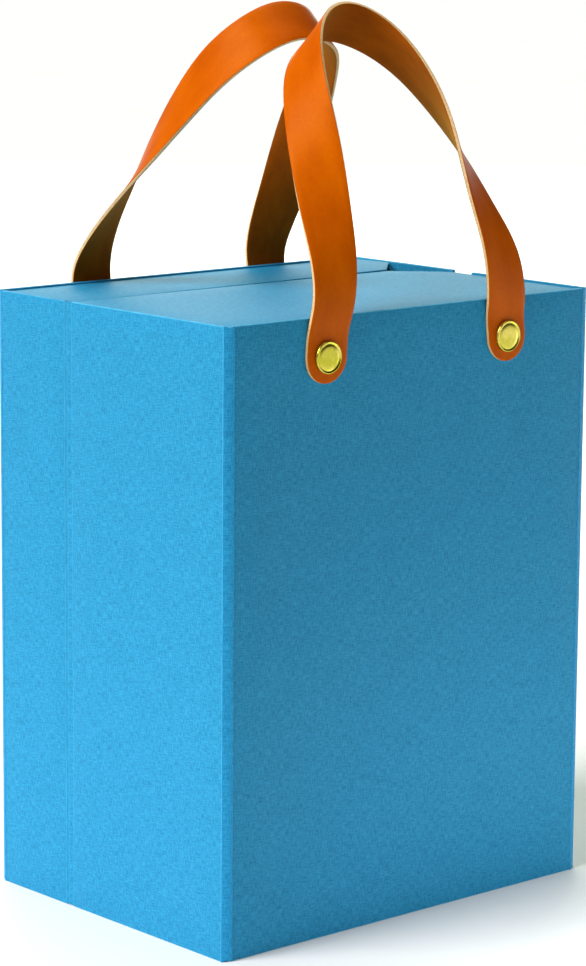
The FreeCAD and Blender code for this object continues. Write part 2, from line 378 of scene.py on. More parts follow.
# %% Metal finishes
def polished_metal(name, dark, light, smooth, dull):
    """Metal with turned scratches, and patches between smooth and dull."""
    finish, tree, shader = new_finish(name, roughness=smooth)
    shader.inputs["Metallic"].default_value = 1.0
    place = add_node(tree, "ShaderNodeTexCoord").outputs["Object"]
    scratches = stretched_noise(tree, place, (900.0, 160.0, 220.0), 2.0, 0.5)
    patches = stretched_noise(tree, place, (130.0, 130.0, 130.0), 2.0, 0.5)
    colour = ramp_between(tree, patches, [(0.35, dark), (0.65, light)])
    gloss = math_node(tree, "ADD", math_node(tree, "MULTIPLY", patches, dull - smooth), smooth)
    join(tree, colour, shader.inputs["Base Color"], gloss, shader.inputs["Roughness"])
    raise_surface(tree, shader, scratches, 0.05, 0.03 * MM)
    return finish


brass = polished_metal("polished_brass", (0.50, 0.46, 0.040), (0.74, 0.62, 0.13), 0.22, 0.34)
nickel = polished_metal("nickel_plate", (0.55, 0.54, 0.52), (0.70, 0.69, 0.67), 0.18, 0.35)
for magnet_node in ("wall_magnets", "flap_magnets"):
    nodes[magnet_node].data.materials.clear()
    nodes[magnet_node].data.materials.append(nickel)
print("metal finishes:", brass.name, nickel.name)

# %% [markdown]
# ## Wrapped boards
# Every cover and tray wall is greyboard with paper glued over it. A cube stretched to
# size would do for a square board, but some boards have clipped corners, and under
# paper no edge is sharp. So each board is cut as an outline, pushed to its thickness,
# and its edges are rounded. Extra cuts across the board let a later step bow it.

# %% Board shape
cover_edge = 0.55 * MM
cut_pitch = 20 * MM


def pushed_outline(outline, along):
    """A flat outline of points, pushed along a vector into a closed solid."""
    bm = bmesh.new()
    face = bm.faces.new([bm.verts.new(point) for point in outline])
    pushed = bmesh.ops.extrude_face_region(bm, geom=[face])["geom"]
    moved = [item for item in pushed if isinstance(item, bmesh.types.BMVert)]
    bmesh.ops.translate(bm, verts=moved, vec=along)
    bmesh.ops.recalc_face_normals(bm, faces=bm.faces[:])
    return bm


def board_work(outline, along, edge):
    """A board from an outline and a thickness vector, with rounded edges."""
    bm = pushed_outline(outline, along)
    bmesh.ops.bevel(bm, geom=bm.edges[:], offset=edge, segments=3, profile=0.5, affect="EDGES")
    return bm


def cut_across(bm, axis, low, high, pitch):
    """Cuts the mesh at even steps along an axis."""
    steps = max(1, round((high - low) / pitch))
    for step in range(1, steps):
        place = [0.0, 0.0, 0.0]
        normal = [0.0, 0.0, 0.0]
        place[axis] = low + (high - low) * step / steps
        normal[axis] = 1.0
        everything = bm.verts[:] + bm.edges[:] + bm.faces[:]
        bmesh.ops.bisect_plane(bm, geom=everything, plane_co=place, plane_no=normal)


def square_outline(low, high):
    """The outline of a box's broad side, and the vector through its thickness."""
    thin = min(range(3), key=lambda axis: high[axis] - low[axis])
    first, second = [axis for axis in range(3) if axis != thin]
    outline = []
    for use_first, use_second in ((0, 0), (1, 0), (1, 1), (0, 1)):
        point = list(low)
        point[first] = (low, high)[use_first][first]
        point[second] = (low, high)[use_second][second]
        outline.append(point)
    along = [0.0, 0.0, 0.0]
    along[thin] = high[thin] - low[thin]
    return outline, along


print("cover edges rounded to", round(cover_edge / MM, 2), "mm")

# %% [markdown]
# Finished mesh work becomes an object at the origin, with its place in its mesh. Flat
# shading would show the steps of a rounded edge, and smooth shading alone would bend
# the flat sides. So the shading is smooth but kept crisp at sharp edges.

# %% Object and shading
def as_object(name, bm, finishes):
    """Turns finished bmesh work into an object at the origin."""
    mesh = bpy.data.meshes.new(name)
    bmesh.ops.recalc_face_normals(bm, faces=bm.faces[:])
    bm.to_mesh(mesh)
    bm.free()
    for finish in finishes:
        mesh.materials.append(finish)
    piece = bpy.data.objects.new(name, mesh)
    bpy.context.scene.collection.objects.link(piece)
    return piece


def shade_by_angle(piece, degrees=40.0):
    """Smooth shading, kept crisp at edges sharper than an angle."""
    piece.data.shade_smooth()
    for edge in piece.data.edges:
        edge.use_edge_sharp = False
    bm = bmesh.new()
    bm.from_mesh(piece.data)
    for edge in bm.edges:
        if len(edge.link_faces) == 2 and edge.calc_face_angle() > math.radians(degrees):
            edge.smooth = False
    bm.to_mesh(piece.data)
    bm.free()


print("piece helpers ready: as_object, shade_by_angle")

# %% [markdown]
# A board also needs a map for its weave and a mark for its pale edges, a painted highlight
# and partly wear. Unwrapping would stretch and turn the weave from board to board. So the
# map is laid flat in metres, face by face, and every thread runs the same way.

# %% Wrapped board
def lay_sheet_map(mesh):
    """Maps each face by the two axes that it spans, in metres."""
    layer = mesh.uv_layers.new(name=THREAD_MAP)
    for face in mesh.polygons:
        size = [abs(v) for v in face.normal]
        thin = size.index(max(size))
        first, second = [axis for axis in range(3) if axis != thin]
        for loop in face.loop_indices:
            point = mesh.vertices[mesh.loops[loop].vertex_index].co
            layer.data[loop].uv = (point[first], point[second])


def mark_worn_and_highlit_edges(mesh, low, high, edge, amount):
    """Stores how near each point is to the board's rounded edges, where the paper is painted paler: a
    painted highlight, partly wear.
    """
    wear_and_highlight_share = mesh.attributes.new(WEAR_AND_HIGHLIGHT_MARK, "FLOAT", "POINT")
    for vertex in mesh.vertices:
        depths = sorted(min(vertex.co[axis] - low[axis], high[axis] - vertex.co[axis])
                        for axis in range(3))
        wear_and_highlight_share.data[vertex.index].value = amount * min(max(2 - 2 * depths[1] / edge, 0.0), 1.0)


def wrapped_board(name, node, edge=cover_edge, outline=None, along=None, finish=blue_paper,
                  wear=0.5):
    """A covered board in a CAD node's place. Its own outline is used if one is given."""
    low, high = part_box(node)
    if outline is None:
        outline, along = square_outline(low, high)
    bm = board_work(outline, along, edge)
    for axis in range(3):
        if high[axis] - low[axis] > 2 * cut_pitch:
            cut_across(bm, axis, low[axis], high[axis], cut_pitch)
    piece = as_object(name, bm, [finish])
    shade_by_angle(piece)
    lay_sheet_map(piece.data)
    # marks the edges that are painted paler: a painted highlight, partly wear
    mark_worn_and_highlit_edges(piece.data, low, high, edge, wear)
    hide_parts(node)
    return piece


print("board helper ready: wrapped_board")

# %% [markdown]
# ## The covers
# Five boards make the case, and the sixth is the flap that closes the right side. One
# folded sheet could stand for all of them, but the box bends between the boards, so
# each is its own piece on its own body. They stand one millimetre past the trays at
# the top and bottom. A number says how pale each one's edges are painted, a painted
# highlight and partly wear: most on the front's, and not at all on the right one.

# %% Covers
# each number is how pale the cover's edges are painted: a painted highlight, partly wear
covers = {
    "front_cover": ("front_box", 1.3),
    "left_front_cover": ("front_box", 1.1),
    "right_front_cover": ("front_box", 0.0),
    "rear_cover": ("lid", 0.5),
    "left_rear_cover": ("lid", 0.7),
}
for cover, (body, wear) in covers.items():
    piece = wrapped_board(cover, cover + "_board", wear=wear)
    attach(piece, body)
flap = wrapped_board("closing_flap", "flap_board")
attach(flap, "flap")
print("covers:", len(covers) + 1)

# %% [markdown]
# ## The trays
# A tray is a base panel with four walls. The top and bottom walls are clipped at 45
# degrees where the flap closes over them, which leaves room for a finger, and the
# right wall is clipped to match. A tray could be one shell with a thickness, but each
# wall is a board of its own here, so that the mouth shows real card and its corners
# show the joints between the boards.

# %% Tray walls
card_edge = 0.4 * MM


def clipped_flat_outline(node, mouth_sign):
    """A top or bottom wall seen from above; the mouth is at +Y (1) or -Y (-1)."""
    low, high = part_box(node)
    mouth, back = (high.y, low.y) if mouth_sign > 0 else (low.y, high.y)
    clip_y = mouth - mouth_sign * finger_clip
    return [(low.x, back, low.z), (high.x, back, low.z), (high.x, clip_y, low.z),
            (high.x - finger_clip, mouth, low.z), (low.x, mouth, low.z)]


def clipped_right_outline(node, mouth_sign, board):
    """A right wall seen from the side, clipped at both free corners."""
    low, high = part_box(node)
    mouth, back = (high.y, low.y) if mouth_sign > 0 else (low.y, high.y)
    clip_y = mouth - mouth_sign * (finger_clip - board)
    clip_z = finger_clip - board
    return [(low.x, back, low.z), (low.x, clip_y, low.z), (low.x, mouth, low.z + clip_z),
            (low.x, mouth, high.z - clip_z), (low.x, clip_y, high.z), (low.x, back, high.z)]


trays = {"front": ("front_box", 1), "rear": ("lid", -1)}
tray_walls = {}
for half, (body, mouth_sign) in trays.items():
    prefix = half + "_tray_"
    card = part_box(prefix + "top_wall")[1].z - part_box(prefix + "top_wall")[0].z
    base = wrapped_board(prefix + "base_panel", prefix + "base", card_edge)
    left = wrapped_board(prefix + "left_side", prefix + "left_wall", card_edge)
    right = wrapped_board(prefix + "right_side", prefix + "right_wall", card_edge,
                          clipped_right_outline(prefix + "right_wall", mouth_sign, card), (card, 0, 0))
    top = wrapped_board(prefix + "top_side", prefix + "top_wall", card_edge,
                        clipped_flat_outline(prefix + "top_wall", mouth_sign), (0, 0, card))
    bottom = wrapped_board(prefix + "bottom_side", prefix + "bottom_wall", card_edge,
                           clipped_flat_outline(prefix + "bottom_wall", mouth_sign), (0, 0, card))
    tray_walls[half] = [base, left, right, top, bottom]
print("tray walls:", sum(len(walls) for walls in tray_walls.values()))

# %% [markdown]
# The two trays never meet perfectly. The lid's top wall bows up towards its free
# right corner, so the joint between the mouths is a hairline at the hinge and a
# shadow at the flap. A lattice could bend it, but a smooth rule on the points is
# shorter and keeps it under the height of the covers.

# %% Bow the lid's top wall
lid_top_bow = 0.85 * MM
lid_top = tray_walls["rear"][3]
low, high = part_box("rear_tray_top_wall")
for vertex in lid_top.data.vertices:
    to_right = (vertex.co.x - low.x) / (high.x - low.x)
    to_mouth = (high.y - vertex.co.y) / (high.y - low.y)
    if to_right > 0 and to_mouth > 0:
        vertex.co.z += lid_top_bow * to_right ** 1.5 * to_mouth ** 0.8
print("bow at the lid's free corner:", round(lid_top_bow / MM, 2), "mm")

# %% [markdown]
# On the left the front tray shrinks back from its cover a little near the hinge,
# which opens a dark crevice behind the cover's pale top edge. It closes towards the
# front corner, where both are glued to the front board. Only the points at the wall's
# left edge move, by a share that eases in and out along the wall.

# %% Open the crevice beside the left cover
crevice = 1.3 * MM
crevice_front_y = -52 * MM
crevice_rear_y = 5 * MM
front_top = tray_walls["front"][3]
left_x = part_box("front_tray_top_wall")[0].x
for vertex in front_top.data.vertices:
    if vertex.co.x < left_x + 3 * card_edge:
        share = (vertex.co.y - crevice_front_y) / (crevice_rear_y - crevice_front_y)
        share = min(max(share, 0.0), 1.0)
        vertex.co.x += crevice * share * share * (3 - 2 * share)
for half, (body, mouth_sign) in trays.items():
    for piece in tray_walls[half]:
        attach(piece, body)
print("crevice at its widest:", round(crevice / MM, 2), "mm")

# %% [markdown]
# ## Linings
# A sheet of lining paper covers the inside of each base. The walls are lined too,
# with a sheet that stops short of the mouth and lets the blue turn-in show as a
# border. A second finish on the walls could show the same border, but even thin paper
# casts a line at its edge, so the linings are real sheets.

# %% Linings
turn_in = 14 * MM
sheet_thickness = 0.22 * MM
sheet_gap = sheet_thickness + 0.05 * MM     # keeps the side sheets clear of the upper and lower ones
lining_edge = 0.06 * MM
wall_lining_edge = 0.05 * MM


def wall_sheets(prefix, mouth_sign):
    """The outline and thickness vector of each sheet inside a tray's four walls."""
    top_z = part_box(prefix + "top_wall")[0].z
    bottom_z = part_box(prefix + "bottom_wall")[1].z
    left_low, left_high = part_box(prefix + "left_wall")
    left_x, right_x = left_high.x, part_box(prefix + "right_wall")[0].x
    liner_low, liner_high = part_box(prefix + "liner")
    back = liner_high.y if mouth_sign > 0 else liner_low.y
    mouth = left_high.y if mouth_sign > 0 else left_low.y
    front = mouth - mouth_sign * turn_in
    clip_y = mouth - mouth_sign * (finger_clip + turn_in * 0.5)
    rise = abs(front - clip_y)
    sheets = []
    for z, push in ((top_z, -sheet_thickness), (bottom_z, sheet_thickness)):
        sheets.append(([(left_x, back, z), (right_x, back, z), (right_x, clip_y, z),
                        (right_x - rise, front, z), (left_x, front, z)], (0, 0, push)))
    low_z, high_z = bottom_z + sheet_gap, top_z - sheet_gap
    sheets.append(([(left_x, back, low_z), (left_x, front, low_z),
                    (left_x, front, high_z), (left_x, back, high_z)], (sheet_thickness, 0, 0)))
    sheets.append(([(right_x, back, low_z), (right_x, clip_y, low_z), (right_x, front, low_z + rise),
                    (right_x, front, high_z - rise), (right_x, clip_y, high_z),
                    (right_x, back, high_z)], (-sheet_thickness, 0, 0)))
    return sheets


def wall_lining(half, body, mouth_sign):
    """Four thin sheets in one piece, because they are cut from one sheet."""
    whole = bmesh.new()
    for outline, along in wall_sheets(half + "_tray_", mouth_sign):
        part = bpy.data.meshes.new("part")
        work = board_work(outline, along, wall_lining_edge)
        bmesh.ops.recalc_face_normals(work, faces=work.faces[:])
        work.to_mesh(part)
        work.free()
        whole.from_mesh(part)
        bpy.data.meshes.remove(part)
    piece = as_object(half + "_wall_lining", whole, [lining_paper])
    shade_by_angle(piece)
    lay_sheet_map(piece.data)
    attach(piece, body)


for half, (body, mouth_sign) in trays.items():
    base_lining = wrapped_board(half + "_base_lining", half + "_tray_liner",
                                lining_edge, finish=lining_paper)
    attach(base_lining, body)
    wall_lining(half, body, mouth_sign)
flap_lining = wrapped_board("flap_lining", "flap_liner", lining_edge)
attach(flap_lining, "flap")
print("lining sheets done, turn-in", round(turn_in / MM, 1), "mm")

# %% [markdown]
# ## Paper joints
# Between two boards the covering paper has nothing under it, so it is pressed into
# the gap with a bone folder. It leaves one board's rounded edge, sinks a little and
# rises to the other edge. A groove could be faked by bump, but the joint's end shows at
# the top of the box. So it is a strip of real paper with two sides: a short curved
# section carried up the box, with its ends worn back in the middle.

# %% Paper joint helpers
joint_steps = 16          # steps across the section
joint_paper_thickness = 0.4 * MM
joint_wear_back = 0.6 * MM
joint_level_pitch = 8 * MM
joint_wander = 0.04 * MM


def joint_rows(low_z, high_z, start, end, sag, ridge):
    """Points of the outer side and then the inner side of a joint, level by level."""
    span = end - start
    middle = (start + end) / 2
    inward = Vector((-span.y, span.x)).normalized()
    if (middle + inward).length > middle.length:
        inward = -inward
    levels = max(2, round((high_z - low_z) / joint_level_pitch))
    rows = []
    for level in range(levels + 1):
        z = low_z + (high_z - low_z) * level / levels
        worn_back = {0: joint_wear_back, levels: -joint_wear_back}.get(level, 0.0)
        row = []
        for side in (0.0, joint_paper_thickness):
            for step in range(joint_steps + 1):
                share = step / joint_steps
                bulge = math.sin(math.pi * share)
                dip = sag * bulge ** 0.7 - ridge * bulge ** 6
                wander = joint_wander * math.sin(z * 190.0 + share * 5.0) * bulge
                point = start + span * share + inward * (dip + wander + side)
                row.append((point.x, point.y, z + worn_back * bulge ** 2))
        rows.append(row)
    return rows


def close_strip(rows):
    """Faces over both sides, both long edges and both ends of a strip's rows."""
    bm = bmesh.new()
    rows = [[bm.verts.new(point) for point in row] for row in rows]
    width = joint_steps + 1
    for lower, upper in zip(rows, rows[1:]):
        for step in range(joint_steps):
            bm.faces.new((lower[step], lower[step + 1], upper[step + 1], upper[step]))
            bm.faces.new((upper[width + step], upper[width + step + 1],
                          lower[width + step + 1], lower[width + step]))
        for step in (0, joint_steps):
            bm.faces.new((lower[step], upper[step], upper[width + step], lower[width + step]))
    for row in (rows[0], rows[-1]):
        for step in range(joint_steps):
            bm.faces.new((row[step], row[step + 1], row[width + step + 1], row[width + step]))
    return bm


print("joint paper:", round(joint_paper_thickness / MM, 2), "mm thick")

# %% [markdown]
# One function now makes any joint between two points of the plan. Its map runs across
# the joint and up it, in metres, so that the weave is as fine here as on the boards.

# %% Paper joint
def pressed_joint(name, node, start, end, sag, ridge=0.0, finish=joint_paper):
    """A strip of paper between two board edges, sunk by sag towards the inside."""
    low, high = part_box(node)
    start, end = Vector(start), Vector(end)
    bm = close_strip(joint_rows(low.z, high.z, start, end, sag, ridge))
    piece = as_object(name, bm, [finish])
    shade_by_angle(piece, 50.0)
    across = (end - start).normalized()
    layer = piece.data.uv_layers.new(name=THREAD_MAP)
    for loop in piece.data.loops:
        point = piece.data.vertices[loop.vertex_index].co
        layer.data[loop.index].uv = ((Vector(point.xy) - start).dot(across), point.z)
    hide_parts(node)
    return piece


print("joint levels are", round(joint_level_pitch / MM, 1), "mm apart")

# %% [markdown]
# Three corners never bend once the box is made. Each joint starts and ends a little
# inside the rounded edge of its board, so that no gap opens between the two.

# %% Corner joints
tuck = 0.30 * MM
shallow_tuck = 0.6 * tuck
corner_sag = 0.25 * MM
left_front_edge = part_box("left_front_cover_board")[0].y
front_left_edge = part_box("front_cover_board")[0].x
front_right_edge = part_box("front_cover_board")[1].x
right_front_low, right_front_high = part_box("right_front_cover_board")
rear_low, rear_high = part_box("rear_cover_board")
left_rear_low, left_rear_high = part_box("left_rear_cover_board")
corner_joints = (
    ("front_left", "front_box",
     (left_face_x + shallow_tuck, left_front_edge + tuck),
     (front_left_edge + tuck, front_face_y + shallow_tuck)),
    ("front_right", "front_box",
     (front_right_edge - tuck, front_face_y + shallow_tuck),
     (right_front_high.x - shallow_tuck, right_front_low.y + tuck)),
    ("rear_left", "lid",
     (rear_low.x + tuck, rear_face_y - shallow_tuck),
     (left_face_x + shallow_tuck, left_rear_high.y - tuck)),
)
for corner, body, start, end in corner_joints:
    piece = pressed_joint(corner + "_joint", corner + "_corner_strip", start, end, corner_sag)
    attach(piece, body)
print("corner joint width:", round((front_left_edge - left_face_x) / MM, 1), "mm")

# %% [markdown]
# Two joints are hinges: the left seam, where the lid swings, and the flap's corner.
# Riding on one body, they would tear away from the other as the box opens. So neither is
# attached to a body: each keeps its place in its own mesh. The seam stands up slightly
# in a soft ridge.

# %% Hinge joints
seam_sag = 0.05 * MM
seam_ridge = 0.22 * MM
seam_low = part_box("left_seam_strip")[0]
seam_start = (seam_low.x, seam_low.y - tuck)
seam_end = (seam_low.x, left_rear_low.y + tuck)
left_seam = pressed_joint("left_hinge_seam", "left_seam_strip", seam_start, seam_end,
                          seam_sag, seam_ridge, blue_paper)
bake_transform(left_seam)
flap_rear_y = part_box("flap_board")[1].y
hinge_start = (rear_high.x - tuck, rear_face_y - shallow_tuck)
hinge_end = (right_face_x - shallow_tuck, flap_rear_y - tuck)
flap_hinge = pressed_joint("flap_hinge_joint", "flap_hinge_strip", hinge_start, hinge_end, corner_sag)
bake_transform(flap_hinge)
print("seam width:", round((seam_end[1] - seam_start[1]) / MM, 1), "mm")

# %% [markdown]
# ## Geometry Nodes helpers
# Two things on the box repeat or follow a line: the rivets, and the straps. Mesh code
# could make them too, but a node tree has its sizes as named inputs and shows each
# step of the work. A modifier's inputs are set by the socket's identifier. When the
# tree has done its work, the result becomes a plain mesh and the modifier goes.

# %% Geometry Nodes helpers
def new_tree(name, inputs):
    """A geometry tree with a geometry input, some named inputs and an output."""
    tree = bpy.data.node_groups.new(name, "GeometryNodeTree")
    tree.interface.new_socket("Geometry", in_out="INPUT", socket_type="NodeSocketGeometry")
    for label, kind, value in inputs:
        socket = tree.interface.new_socket(label, in_out="INPUT", socket_type="NodeSocket" + kind)
        if value is not None:
            socket.default_value = value
    tree.interface.new_socket("Geometry", in_out="OUTPUT", socket_type="NodeSocketGeometry")
    return tree, tree.nodes.new("NodeGroupInput").outputs, tree.nodes.new("NodeGroupOutput").inputs


def run_tree(piece, tree, values):
    """Runs a tree on a piece with some inputs and keeps the result as a plain mesh."""
    modifier = piece.modifiers.new(tree.name, "NODES")
    modifier.node_group = tree
    for item in tree.interface.items_tree:
        if item.in_out == "INPUT" and item.name in values:
            modifier[item.identifier] = values[item.name]
    depsgraph = bpy.context.evaluated_depsgraph_get()
    result = bpy.data.meshes.new_from_object(
        piece.evaluated_get(depsgraph), preserve_all_data_layers=True, depsgraph=depsgraph)
    piece.modifiers.clear()
    piece.data = result
    return piece


def empty_piece(name):
    """An object with no mesh yet, for a tree that makes everything itself."""
    piece = bpy.data.objects.new(name, bpy.data.meshes.new(name))
    bpy.context.scene.collection.objects.link(piece)
    return piece


print("tree helpers ready: new_tree, run_tree, empty_piece")

# %% [markdown]
# ## Rivets
# Each handle end is held by a capped rivet: a pressed head with a rolled rim and a
# low dome, a post through leather, cover, tray and lining, and a cap inside. A lathed
# profile would do for one. A tree makes a whole pair, and takes the sizes of the head,
# the post and the spacing as inputs. The head is a disc of rings, and a curve says how
# high each ring stands, from the middle (0) to the rim (1).

# %% Shape of a rivet
def profile_curve(tree, share, profile):
    """A curve through the profile's points, read at a share of the radius."""
    curve = add_node(tree, "ShaderNodeFloatCurve")
    points = curve.mapping.curves[0].points
    for index, (where, height) in enumerate(profile):
        if index < 2:
            points[index].location = (where, height)
        else:
            points.new(where, height)
    curve.mapping.update()
    join(tree, share, curve.inputs["Value"])
    return curve.outputs[0]


def pressed_disc(tree, given, profile):
    """A disc of rings, each lifted to the profile's height."""
    radius = math_node(tree, "MULTIPLY", given["Head Diameter"], 0.5)
    disc = add_node(tree, "GeometryNodeMeshCylinder",
                    {"Vertices": 72, "Side Segments": 3, "Fill Segments": 36, "Depth": 1.0},
                    fill_type="NGON")
    place = add_node(tree, "GeometryNodeInputPosition").outputs[0]
    parts = add_node(tree, "ShaderNodeSeparateXYZ")
    flat = add_node(tree, "ShaderNodeVectorMath", {1: (1.0, 1.0, 0.0)}, operation="MULTIPLY")
    reach = add_node(tree, "ShaderNodeVectorMath", operation="LENGTH")
    join(tree, radius, disc.inputs["Radius"], place, parts.inputs[0], place, flat.inputs[0],
         flat.outputs[0], reach.inputs[0])
    share = math_node(tree, "DIVIDE", reach.outputs["Value"], radius)
    lift = math_node(tree, "ADD", parts.outputs["Z"], 0.5)
    height = math_node(tree, "MULTIPLY", lift, profile_curve(tree, share, profile))
    together = add_node(tree, "ShaderNodeCombineXYZ")
    shaped = add_node(tree, "GeometryNodeSetPosition")
    join(tree, parts.outputs["X"], together.inputs["X"], parts.outputs["Y"], together.inputs["Y"],
         math_node(tree, "MULTIPLY", height, given["Head Height"]), together.inputs["Z"],
         disc.outputs["Mesh"], shaped.inputs["Geometry"],
         together.outputs[0], shaped.inputs["Position"])
    return shaped.outputs[0]


def post_below(tree, given):
    """A round post that reaches down from the head."""
    post = add_node(tree, "GeometryNodeMeshCylinder", {"Vertices": 32}, fill_type="TRIANGLE_FAN")
    down = add_node(tree, "ShaderNodeCombineXYZ")
    sunk = add_node(tree, "GeometryNodeTransform")
    join(tree, math_node(tree, "MULTIPLY", given["Post Diameter"], 0.5), post.inputs["Radius"],
         given["Post Length"], post.inputs["Depth"],
         math_node(tree, "MULTIPLY", given["Post Length"], -0.5), down.inputs["Z"],
         post.outputs["Mesh"], sunk.inputs["Geometry"], down.outputs[0], sunk.inputs["Translation"])
    return sunk.outputs[0]


# (share of the radius, height); the two ends come first
head_profile = [(0.0, 0.80), (1.0, 0.30), (0.35, 0.79), (0.62, 0.74), (0.76, 0.62), (0.82, 0.55),
                (0.87, 0.62), (0.92, 0.75), (0.95, 0.76), (0.98, 0.62)]
cap_profile = [(0.0, 1.0), (1.0, 0.45), (0.60, 0.97), (0.86, 0.88), (0.96, 0.70)]
print("profile points: head", len(head_profile), "and cap", len(cap_profile))

# %% [markdown]
# The tree joins a head to its post, sets the shape at two points that lie the spacing
# apart, and turns it to face outwards. Instances would be dropped by an export, so they
# are made real before the finish is set.

# %% Rivet tree
def pair_of(tree, given, shape):
    """The shape at both rivet places, turned to face outwards."""
    away = add_node(tree, "ShaderNodeCombineXYZ")
    first = add_node(tree, "ShaderNodeVectorMath", operation="SUBTRACT")
    apart = add_node(tree, "ShaderNodeCombineXYZ")
    places = add_node(tree, "GeometryNodeMeshLine", {"Count": 2}, mode="OFFSET")
    turn = add_node(tree, "ShaderNodeCombineXYZ")
    copies = add_node(tree, "GeometryNodeInstanceOnPoints")
    join(tree, math_node(tree, "MULTIPLY", given["Spacing"], 0.5), away.inputs["X"],
         given["Centre"], first.inputs[0], away.outputs[0], first.inputs[1],
         given["Spacing"], apart.inputs["X"], first.outputs[0], places.inputs["Start Location"],
         apart.outputs[0], places.inputs["Offset"], given["Turn"], turn.inputs["X"],
         places.outputs[0], copies.inputs["Points"], shape, copies.inputs["Instance"],
         turn.outputs[0], copies.inputs["Rotation"])
    return copies.outputs[0]


def rivet_tree(name, profile):
    """A tree that makes two rivets from their sizes."""
    tree, given, result = new_tree(name, [
        ("Head Diameter", "Float", 0.0165), ("Head Height", "Float", 0.0020),
        ("Post Diameter", "Float", 0.0040), ("Post Length", "Float", 0.0080),
        ("Spacing", "Float", 0.1240), ("Centre", "Vector", None), ("Turn", "Float", 0.0),
        ("Finish", "Material", None)])
    one = add_node(tree, "GeometryNodeJoinGeometry")
    real = add_node(tree, "GeometryNodeRealizeInstances")
    dressed = add_node(tree, "GeometryNodeSetMaterial")
    join(tree, post_below(tree, given), one.inputs[0],
         pressed_disc(tree, given, profile), one.inputs[0],
         pair_of(tree, given, one.outputs[0]), real.inputs[0],
         real.outputs[0], dressed.inputs["Geometry"], given["Finish"], dressed.inputs["Material"],
         dressed.outputs[0], result["Geometry"])
    return tree


rivet_head_tree = rivet_tree("capped_rivet_head", head_profile)
rivet_cap_tree = rivet_tree("rivet_inner_cap", cap_profile)
print("nodes in the rivet tree:", len(rivet_head_tree.nodes))

# %% [markdown]
# The trees run four times: heads and inner caps, on the front and on the rear. Every
# size comes from the CAD nodes, so the visible rivets sit exactly in their holes.

# %% Set the rivets
cap_post_length = 0.5 * MM     # just enough to reach into the lining
for half, side, body in (("front", -1, "front_box"), ("rear", 1, "lid")):
    head_low, head_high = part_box(half + "_rivet_posts")
    cap_low, cap_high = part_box(half + "_rivet_caps")
    feet_low, feet_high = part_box(half + "_strap_feet")
    middle_z = (head_low.z + head_high.z) / 2
    head_diameter = head_high.z - head_low.z
    spacing = head_high.x - head_low.x - head_diameter
    leather_y = feet_low.y if side < 0 else feet_high.y
    outer_y = head_low.y if side < 0 else head_high.y
    post_end_y = head_high.y if side < 0 else head_low.y
    lining_y = cap_low.y if side < 0 else cap_high.y
    heads = run_tree(empty_piece(half + "_rivet_heads"), rivet_head_tree, {
        "Head Diameter": head_diameter, "Head Height": abs(outer_y - leather_y),
        "Post Length": abs(post_end_y - leather_y), "Spacing": spacing,
        "Centre": (0.0, leather_y, middle_z), "Turn": -side * math.pi / 2, "Finish": brass})
    caps = run_tree(empty_piece(half + "_rivet_inner_caps"), rivet_cap_tree, {
        "Head Diameter": cap_high.z - cap_low.z, "Head Height": cap_high.y - cap_low.y,
        "Post Length": cap_post_length, "Spacing": spacing,
        "Centre": (0.0, lining_y, middle_z), "Turn": side * math.pi / 2, "Finish": brass})
    for piece, node in ((heads, half + "_rivet_posts"), (caps, half + "_rivet_caps")):
        shade_by_angle(piece, 50.0)
        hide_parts(node)
        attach(piece, body)
print("rivet spacing:", round(spacing / MM, 1), "mm; head", round(head_diameter / MM, 1), "mm")

# %% [markdown]
# ## Cutting a strap flat
# A strap is cut flat from hide: a long strip with round ends, two millimetres thick,
# its arrises barely eased. Bending it straight away, point by point, would lose its
# width and its length, so it is made flat here as well and bent later. Cuts at even
# steps let it bend, and its map is laid while it is flat. The leather is also pressed
# down a little round each rivet.

# %% Flat strap
end_turns = 20                # steps round each end
arris = 0.28 * MM
cut_width = 3.2 * MM
cut_length = 2.2 * MM
press_depth = 0.22 * MM       # how far a rivet presses into the grain
press_reach = 10.5 * MM


def strap_blank(length, width, thickness):
    """A strip from X=0 to X=length with round ends, cut at even steps."""
    radius = width / 2
    outline = []
    for centre, first_angle in ((length - radius, -math.pi / 2), (radius, math.pi / 2)):
        for step in range(end_turns + 1):
            angle = first_angle + math.pi * step / end_turns
            x = centre + radius * math.cos(angle)
            outline.append((x, radius * math.sin(angle), -thickness / 2))
    bm = pushed_outline(outline, (0, 0, thickness))
    rims = [edge for edge in bm.edges
            if abs(edge.verts[0].co.z - edge.verts[1].co.z) < thickness / 2]
    bmesh.ops.bevel(bm, geom=rims, offset=arris, segments=2, profile=0.5, affect="EDGES")
    cut_across(bm, 1, -radius, radius, cut_width)
    cut_across(bm, 0, 0.0, length, cut_length)
    return bm


def flat_strap(name, length, width, thickness):
    """A flat strap, its grain side up, with its map and the mark of each surface."""
    bm = strap_blank(length, width, thickness)
    for vertex in bm.verts:
        for rivet_x in (width / 2, length - width / 2):
            reach = math.hypot(vertex.co.x - rivet_x, vertex.co.y)
            if vertex.co.z > 0 and reach < press_reach:
                vertex.co.z -= press_depth * (1 - (reach / press_reach) ** 2)
    piece = as_object(name, bm, [tan_grain])
    layer = piece.data.uv_layers.new(name=HIDE_MAP)
    surface = piece.data.attributes.new("surface", "FLOAT", "FACE")
    for polygon in piece.data.polygons:
        up = polygon.normal.z
        surface.data[polygon.index].value = 0 if up > 0.35 else 1 if up < -0.35 else 2
        for loop in polygon.loop_indices:
            point = piece.data.vertices[piece.data.loops[loop].vertex_index].co
            layer.data[loop].uv = (point.x, point.y)
    return piece


print("a strap is cut every", round(cut_length / MM, 1), "mm along")

# %% [markdown]
# ## The line of a handle
# A handle leaves its rivets flat on the cover, bows out a little over the top edge,
# and then twists: a strap that stands upright against the cover has to lie across
# the top of the loop. Arcs could draw the loop but not its twist. So the line is set by
# a few stations on the right leg, each with its place and how far the strap has turned
# there, and a smooth curve joins them. The left leg is the mirror image.

